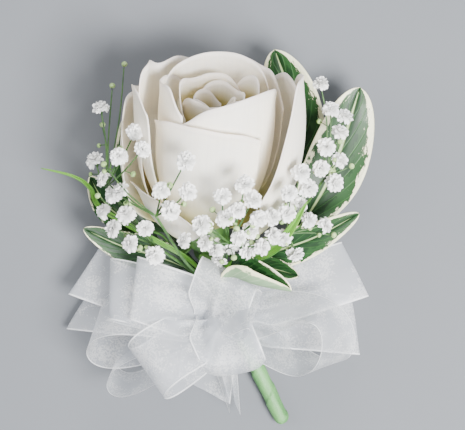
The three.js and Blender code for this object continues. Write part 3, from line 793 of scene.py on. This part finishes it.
STALK_RING_AT = (-0.7, 11, 6.7)
STALK_RING = 6
FLOWER_SIZE = 1.08
sprays = {
    "breath_left_high": dict(
        root=167, through=[(-13.4, 19.2, 12), (-18, 26.8, 16.6), (-25.5, 30.8, 25)], fork=(-36.5, 44, 38),
        flowers=[(-39.2, 72.7, 30), (-25.5, 62.5, 52), (-41, 54, 35), (-31, 54.5, 51), (-22.5, 56.2, 60)],
        buds=[(-31.3, 87.7, 24), (-35.5, 80, 25), (-38.6, 66, 29)]),
    "breath_left_middle": dict(
        root=110, through=[(-9.5, 18.5, 37)], fork=(-18.5, 34, 55),
        flowers=[(-37.5, 47, 43), (-31.2, 42.9, 49), (-16.3, 43, 62),
                 (-13, 36, 61), (-8, 52.3, 66), (-7.3, 42.2, 64)],
        buds=[(-36.5, 51.5, 48)]),
    "breath_left_low": dict(
        root=128, through=[(-9.5, 16, 24)], fork=(-20, 24, 37),
        flowers=[(-38, 36, 37), (-29.5, 35, 45), (-34.6, 29.9, 38), (-22.7, 30.2, 48),
                 (-19.5, 20.4, 42), (-34, 42, 41), (-28.5, 24.5, 40)],
        buds=[(-39.5, 41, 38), (-22.5, 23, 40)]),
    "breath_centre": dict(
        root=86, through=[(4, 17.5, 31)], fork=(6, 25, 53),
        flowers=[(3.5, 40.9, 65), (11, 44.8, 66), (4.4, 33.8, 62), (15.8, 33.6, 62), (-2.6, 25.2, 56),
                 (-9.7, 26, 53), (2, 19, 48), (9.2, 27.2, 58), (17.4, 23.7, 53),
                 (0.5, 23.4, 52), (6.3, 22.6, 51), (12.6, 22.4, 51), (13.2, 29.6, 56), (8.6, 36.4, 64),
                 (13.8, 40, 61), (-3.5, 31.5, 60), (21, 27.5, 50), (20.5, 34, 55)],
        buds=[(-0.6, 31, 60)]),
    "breath_right_low": dict(
        root=40, through=[(14, 21, 23.5)], fork=(26, 28, 39),
        flowers=[(29.8, 49, 54), (25.6, 42, 59), (32.5, 44, 49), (25.2, 35.4, 52),
                 (33.4, 33, 42), (39.4, 31, 37), (29, 20.5, 36), (29.5, 38.5, 47), (24, 26.5, 46)],
        buds=[(42, 27.5, 34)]),
    "breath_right_high": dict(
        root=12, through=[(24, 26.5, 16.5)], fork=(39, 47, 30),
        flowers=[(37.5, 80.5, 34), (41, 71.6, 34), (44.5, 64, 31), (39, 58, 41),
                 (46.4, 69.5, 29), (44.5, 54, 32), (37, 50.5, 43), (42.5, 45.5, 35)],
        buds=[(48.5, 51.5, 30)]),
}


def breath_spray(name, root, through, fork, flowers, buds):
    chance = random.Random(name)
    x, y, z = STALK_RING_AT
    angle = math.radians(root)
    start = (x + STALK_RING * math.cos(angle), y, z + STALK_RING * math.sin(angle))
    bunch = Bunch()
    bunch.tube([start, *through, fork], 0.6, 0.42, TWIG, sides=8, steps=24)
    hub = Vector(fork)
    for end in [*flowers, *buds]:
        at = Vector(end)
        run = at - hub
        bow = Vector([chance.uniform(-0.05, 0.05) * run.length for _ in range(3)])
        middle = hub + run * 0.5 + bow
        bunch.tube([hub, middle, at - run.normalized() * 1.5], 0.32, 0.22, TWIG, sides=6, steps=8)
        outward = (run.normalized() + Vector((0, 0.1, 0.75))).normalized()
        if end in buds:
            closed_bud(bunch, at, run.normalized(), 0.9)
            continue
        open_flower(bunch, at, outward, FLOWER_SIZE * chance.uniform(0.9, 1.12), chance)
        aside = Vector([chance.uniform(-1, 1) for _ in range(3)]).normalized()
        tip = middle + (run.normalized() * 0.8 + aside).normalized() * chance.uniform(3, 5)
        bunch.tube([middle, tip], 0.2, 0.15, TWIG, sides=5, steps=2)
        closed_bud(bunch, tip, (tip - middle).normalized(), chance.uniform(0.6, 0.95))
    return bunch.mesh(name + "_spray", [TWIG_GREEN, FLORET, BUD_GREEN])


for name, spray in sprays.items():
    stand_for(breath_spray(name, **spray), "babys_breath", name)


# ==== The bow ====
# Sheer organza ribbon, 22 mm wide, folded back and forth into loops and pinched on a wire at the middle. The
# ribbon is a single ply with a corded edge, so where plies cross it turns whiter.
RIBBON_WIDTH = 22
PINCH = 0.22
PINCH_LENGTH = 15
PLY_GAP = 0.7
LOOP_START = 5
TIE_AT = Vector(TIE_FROM_FOOT[:2])


# Organza is a plain weave of thin glassy yarn with open gaps. Light passes between the threads and also glows
# through them, so a ply lit from either side looks white. The glints where stray threads catch the light are
# painted into the colour as white specks. The threads are 0.2 mm apart, and the painted glints are drawn
# coarser, about 0.7 mm, so that they show.
def organza(name, cover, roughness, shaded):
    """cover is the share of the weave that is thread, and shaded the threads' colour between the painted
    glints.
    """
    m = new_material(name)
    grain = add(m, "UVMap", uv_map="grain")["UV"]
    warp = add(m, "Mapping", {"Vector": grain, "Scale": (35.0, 1.0, 1.0)})[0]
    threads = add(m, "TexWave", {"Vector": warp, "Scale": 1.0, "Distortion": 0.4})["Fac"]
    place = add(m, "TexCoord")["Object"]
    glint_speckle = add(m, "TexNoise", {"Vector": place, "Scale": 1500.0, "Detail": 1.0, "Roughness": 0.6})["Fac"]
    drift = add(m, "TexNoise", {"Vector": place, "Scale": 110.0, "Detail": 2.0})["Fac"]
    lit = add(m, "Math", {0: glint_speckle, 1: drift}, operation="MULTIPLY")[0]
    # Painted glints: white specks in the colour where stray threads would catch the light.
    painted_glint = add(m, "MapRange", {0: lit, 1: 0.26, 2: 0.3})[0]
    body = add(m, "Mix", {0: painted_glint, 6: paint(shaded), 7: paint("#FFFFFF")}, data_type="RGBA")[2]
    lined = add(m, "Math", {0: threads, 1: 0.25}, operation="MULTIPLY")[0]
    colour = add(m, "Mix", {0: lined, 6: body, 7: paint("#F4F5F7")}, data_type="RGBA")[2]
    relief = add(m, "Math", {0: glint_speckle, 1: threads}, operation="ADD")[0]
    bump = add(m, "Bump", {"Height": relief, "Strength": 0.2, "Distance": 0.0002})[0]
    yarn = add(
        m,
        "BsdfPrincipled",
        {
            "Base Color": colour,
            "Normal": bump,
            "Roughness": roughness,
            "Specular IOR Level": 0.8,
            "Sheen Weight": 0.5,
            "Sheen Roughness": 0.3,
        },
    )[0]
    glow = add(m, "BsdfTranslucent", {"Color": colour})[0]
    ply = add(m, "MixShader", {0: 0.4, 1: yarn, 2: glow})[0]
    gaps = add(m, "BsdfTransparent")[0]
    return finish_with(m, add(m, "MixShader", {0: cover, 1: gaps, 2: ply})[0])


SHEER = organza("sheer organza weave", 0.5, 0.35, "#CBCFD6")
SELVEDGE = organza("organza corded edge", 0.97, 0.3, "#FAFBFC")


def ribbon_sheet(name, point, along):
    """A single ply whose outer columns are the corded edges."""
    across = 44
    piece = grown_sheet(name, point, across, along)
    piece.data.materials.append(SHEER)
    piece.data.materials.append(SELVEDGE)
    for face in piece.data.polygons:
        column = face.index % across
        if column in (0, across - 1):
            face.material_index = 1
    return piece


def opened_out(distance, pinch, pinch_length):
    return pinch + (1 - pinch) * smooth(distance, 0, pinch_length)


def pinch_start(end, level, root):
    out = (Vector(end[:2]) - TIE_AT).normalized() * root
    return Vector((TIE_AT.x + out.x, TIE_AT.y + out.y, level))


def pleats(s, distance, phase, depth, reach):
    """The lengthwise gathers that fade out away from the pinch."""
    gathered = 1 - smooth(distance, 0, reach)
    folds = math.sin(7.5 * s + phase + 0.05 * distance) + 0.4 * math.sin(13 * s - 2 * phase)
    return depth * gathered * folds


def loop_shape(level, bulge, fold, across, crease=1.2, phase=0.0, root=LOOP_START, pinch=PINCH, rounded=0.0):
    """A loop lying nearly flat: out to the place fold, across it the way that across gives, and back."""
    start = pinch_start(fold, level, root)
    out = Vector(fold) - start
    length = out.length
    out.normalize()
    fold_across = Vector(across).normalized()
    flat_across = Vector((0, 0, 1)).cross(out).normalized()
    if flat_across.dot(fold_across) < 0:
        flat_across.negate()

    def point(s, t):
        away = math.sin(math.pi * t) ** 2
        width = flat_across.lerp(fold_across, away).normalized()
        face = out.cross(width).normalized()
        if face.z < 0:
            face.negate()
        distance = length * away * (1 - rounded * s**4)
        bow = 1.5 * bulge * math.sin(2 * math.pi * t) * math.sin(math.pi * t) ** crease
        half = RIBBON_WIDTH / 2 * opened_out(distance, pinch, PINCH_LENGTH * (1.2 - pinch))
        folds = pleats(s, distance, phase, 1.5, 0.9 * length)
        slack = 0.5 * smooth(away, 0.1, 0.9) * math.sin(3 * s + 6 * t + phase)
        lift = bow + PLY_GAP * (1 - 2 * t) + folds + slack
        return start + out * distance + face * lift + width * (s * half)

    return point


def round_loop(start, back, far, opening, sides, phase=0.0, depth=1.0, pinch=PINCH):
    """A round, open loop, out from start to its far end and home to back. opening is the way from its middle
    to the outgoing run, and sides the way across the ribbon going out, at the far end and coming home."""
    start, back, far, opening = Vector(start), Vector(back), Vector(far), Vector(opening)
    reach = 0.6 * (far - start).length

    def middle(t):
        root = start.lerp(back, t)
        away = math.sin(math.pi * t)
        return root + (far - root) * away + opening * math.sin(2 * math.pi * t) * math.sqrt(max(away, 0))

    def point(s, t):
        place = middle(t)
        ahead = middle(min(t + 0.02, 1)) - middle(max(t - 0.02, 0))
        side = along_line(sides, t).normalized()
        near_end = min((place - start).length, (place - back).length)
        half = RIBBON_WIDTH / 2 * opened_out(near_end, pinch, PINCH_LENGTH * (1.2 - pinch))
        face = ahead.cross(side).normalized()
        return place + side * (s * half) + face * pleats(s, near_end, phase, depth, reach)

    return point


loops = {
    "bow_loop_left_back": loop_shape(10.6, 1.8, (-48.5, 2, 4), (0.5, 0.85, 0), phase=0.4),
    "bow_loop_low_back": round_loop(
        (2.5, -5.5, 19), (3.5, -7, 16), (-36.5, -24, 12), (-1.8, 6.5, 2),
        [(0.1, -0.2, 1), (-0.1, -0.3, 1), (0, -0.3, 1)], phase=1.2),
    "bow_loop_left_high": loop_shape(14.4, 1.8, (-46.2, 15, 13), (0.555, 0.832, 0), phase=2.2),
    "bow_loop_left_round": round_loop(
        (3, -2.5, 25), (1.5, -4.5, 20.5), (-42.5, -7, 18), (0, 7.6, 8.8),
        [(0.2, -0.8, 0.7), (-0.2, -0.7, 0.8), (-0.2, -0.8, 0.6)], phase=3.1),
    "bow_loop_left_middle": loop_shape(
        25.3, 3.6, (-36.5, 8.3, 25), (0, 1, -0.25), phase=4.4, root=1, pinch=0.4),
    "bow_loop_left_front": loop_shape(
        28.3, 3, (-27.5, 9.2, 33), (0.13, 0.99, 0), phase=5.0, root=0, pinch=0.5),
    "bow_loop_front_low": round_loop(
        (2, -2.5, 32.5), (2, -4.5, 29), (-23, -20, 34), (0, 3.2, 7.9),
        [(0.7, -0.7, 0.3), (0.6, -0.8, 0.2), (0.7, -0.8, 0.2)], phase=0.9),
    "bow_loop_centre_up": loop_shape(
        29, 4, (5.9, 14.6, 37), (0.87, -0.5, 0), phase=1.9, root=-1, pinch=0.62),
    "bow_loop_centre_down": loop_shape(
        29, 5, (8.8, -20.4, 36), (0.98, 0.17, 0), phase=2.7, crease=0.7, root=-1.5, pinch=0.55, rounded=0.14),
    "bow_loop_right_open": round_loop(
        (3.5, -1.5, 29), (6, -4.5, 24), (44.5, -11.5, 24), (0, 12.5, 12),
        [(0, -0.8, 0.6), (-0.6, 0, 0.8), (-0.2, -0.6, 0.8)], phase=3.6, depth=0.7),
    "bow_centre_curl": round_loop(
        (1, -1, 31), (1.5, -1.5, 30.5), (15, 1, 37), (0, 1.8, 3.4),
        [(-0.2, -0.8, 0.5), (-0.2, -0.5, 0.8), (0, -0.8, 0.5)], phase=2.5, depth=0.6, pinch=0.5),
    "bow_loop_right_high": loop_shape(16.6, 1.8, (51.3, 14.9, 12.5), (0.447, -0.894, 0), phase=4.1),
    "bow_loop_right_back": loop_shape(12, 1.8, (52.1, -5.9, 5), (0.14, -0.97, 0.1), phase=5.6),
}


def cut_length(point, steps=200):
    """The length of ribbon that a piece takes, along its middle."""
    spots = [Vector(point(0, i / steps)) for i in range(steps + 1)]
    return sum((b - a).length for a, b in zip(spots, spots[1:]))


for name, shape in loops.items():
    piece = ribbon_sheet(f"{name}_ribbon", shape, 110)
    stand_for(piece, "organza", *([name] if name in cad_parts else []))
    cut_length(shape) / 1000

# The tails are the two ends of the ribbon. The short one is cut on a slant. The long one is folded lengthwise
# in four, so that it narrows, and cut to a dovetail.
TAIL_SAG = 0.8


def tail_shape(level, width, end_width, tip, across, fold_height=0.0, slant=0.0, notch=0.0):
    start = pinch_start(tip, level, LOOP_START)
    out = Vector(tip) - start
    over = Vector(across).normalized()

    def point(s, t):
        share = t * (1 + slant * s - notch * (1 - abs(s)))
        opened = opened_out(PINCH_LENGTH * min(2 * t, 1), PINCH, PINCH_LENGTH)
        half = (width + (end_width - width) * t) / 2 * opened
        folded = fold_height * (1 - abs(2 * abs(s) - 1)) * smooth(t, 0, 0.3)
        lift = TAIL_SAG * math.sin(math.pi * min(share, 1)) + folded + 0.5 * math.sin(6 * s + 4 * t)
        return start + out * share + over * (s * half) + Vector((0, 0, lift))

    return point


NOTCH = 0.3
tails = {
    "bow_tail_short": (tail_shape(10.8, 20, 20, (-3.4, -29.6, 7.5), (0.9, -0.2, 0), slant=0.12), 0),
    "bow_tail_dovetail": (
        tail_shape(15, 12, 4, (7.8, -38.5, 6), (1, -0.12, 0), fold_height=4.9, notch=NOTCH), NOTCH / 2
    ),
}
for name, (shape, cut_away) in tails.items():
    piece = ribbon_sheet(f"{name}_ribbon", shape, 60)
    stand_for(piece, "organza", name)
    length = cut_length(shape) / (1 - 2 * cut_away) / 1000


# ==== The tie of the bow ====
# The loops' pinched ends, gathered into one fluted column of ribbon that stands on the taped stem. A thin
# enamelled wire is wound three times round its waist.
TIE_FOOT = 9.3
GATHER_TOP = 27
TIE_RADIUS = 3.8
FLUTES = 9


def gather_ring(t):
    waist = 1 - 0.22 * math.sin(math.pi * t)
    dome = math.sqrt(1 - smooth(t, 0.93, 1.0) * 0.9)
    centre = Vector((TIE_AT.x, TIE_AT.y, TIE_FOOT + (GATHER_TOP - TIE_FOOT) * t))

    def radius_at(angle):
        return TIE_RADIUS * waist * dome * (0.88 + 0.12 * math.sin(FLUTES * angle + 1.5 * math.sin(5 * t)))

    return centre, radius_at, Vector((1, 0, 0)), Vector((0, 1, 0))


GATHER = organza("gathered organza", 0.97, 0.4, "#D3D6DB")
gather = round_body("bow_tie_gather", gather_ring, 72, 40)
gather.data.materials.append(GATHER)
stand_for(gather, "organza", "bow_tie")

TIE_WIRE_TURNS = 3
TIE_WIRE_FROM = 16.5
TIE_WIRE_RADIUS = 0.3
COIL_RADIUS = 3.15
STEPS_A_TURN = 16
coil = []
for i in range(TIE_WIRE_TURNS * STEPS_A_TURN + 1):
    turns = i / STEPS_A_TURN
    angle = 2 * math.pi * turns
    height = TIE_WIRE_FROM + 2.2 * TIE_WIRE_RADIUS * turns
    x, y = TIE_AT + COIL_RADIUS * Vector((math.cos(angle), math.sin(angle)))
    coil.append((x, y, height))
binding = round_body("bow_tie_wire", line_ring(coil, lambda t, angle: TIE_WIRE_RADIUS), 8, 240)
binding.data.materials.append(WIRE_ENAMEL)
stand_for(binding, "wire")


# ==== The table, the light and the camera ====
# The corsage lies on a plain pale surface. The camera looks straight down on it from a little over half a
# metre, as one looks at a flower held up to be seen.
def table_top():
    m = new_material("matt table board")
    place = add(m, "TexCoord")["Object"]
    mottle = add(m, "TexNoise", {"Vector": place, "Scale": 12.0, "Detail": 4.0})["Fac"]
    colour = add(m, "Mix", {0: mottle, 6: paint("#686B70"), 7: paint("#6F7276")}, data_type="RGBA")[2]
    return finish_with(m, add(m, "BsdfPrincipled", {"Base Color": colour, "Roughness": 0.9})[0])


TABLE_HALF = 3.0
corners = [(x * TABLE_HALF, y * TABLE_HALF, 0) for x, y in ((-1, -1), (1, -1), (1, 1), (-1, 1))]
floor_mesh = bpy.data.meshes.new("table_top")
floor_mesh.from_pydata(corners, [], [(0, 1, 2, 3)])
floor_mesh.materials.append(table_top())
floor = bpy.data.objects.new("table_top", floor_mesh)
floor.location.z = -0.0002
bpy.context.collection.objects.link(floor)

world = bpy.data.worlds.new("studio")
world.use_nodes = True
world.node_tree.nodes["Background"].inputs["Color"].default_value = paint("#DDE3EA")
world.node_tree.nodes["Background"].inputs["Strength"].default_value = 0.35
bpy.context.scene.world = world


def soft_light(name, place, size, power):
    lamp = bpy.data.lights.new(name, "AREA")
    lamp.size = size
    lamp.energy = power
    lamp_object = bpy.data.objects.new(name, lamp)
    lamp_object.location = place
    aim = metres((0, 25, 20)) - lamp_object.location
    lamp_object.rotation_euler = aim.to_track_quat("-Z", "Y").to_euler()
    bpy.context.collection.objects.link(lamp_object)


soft_light("key", (0.3, -0.2, 0.65), 0.3, 21)
soft_light("fill", (-0.55, 0.1, 0.5), 0.5, 4)
soft_light("rim", (0.05, 0.6, 0.35), 0.3, 3.5)

CAMERA_AT = (6.9, 34.4, 540)
lens = bpy.data.cameras.new("camera")
lens.lens = 113
lens.sensor_width = 36
lens.clip_start = 0.01
camera = bpy.data.objects.new("camera", lens)
camera.location = metres(CAMERA_AT)
bpy.context.collection.objects.link(camera)
bpy.context.scene.camera = camera
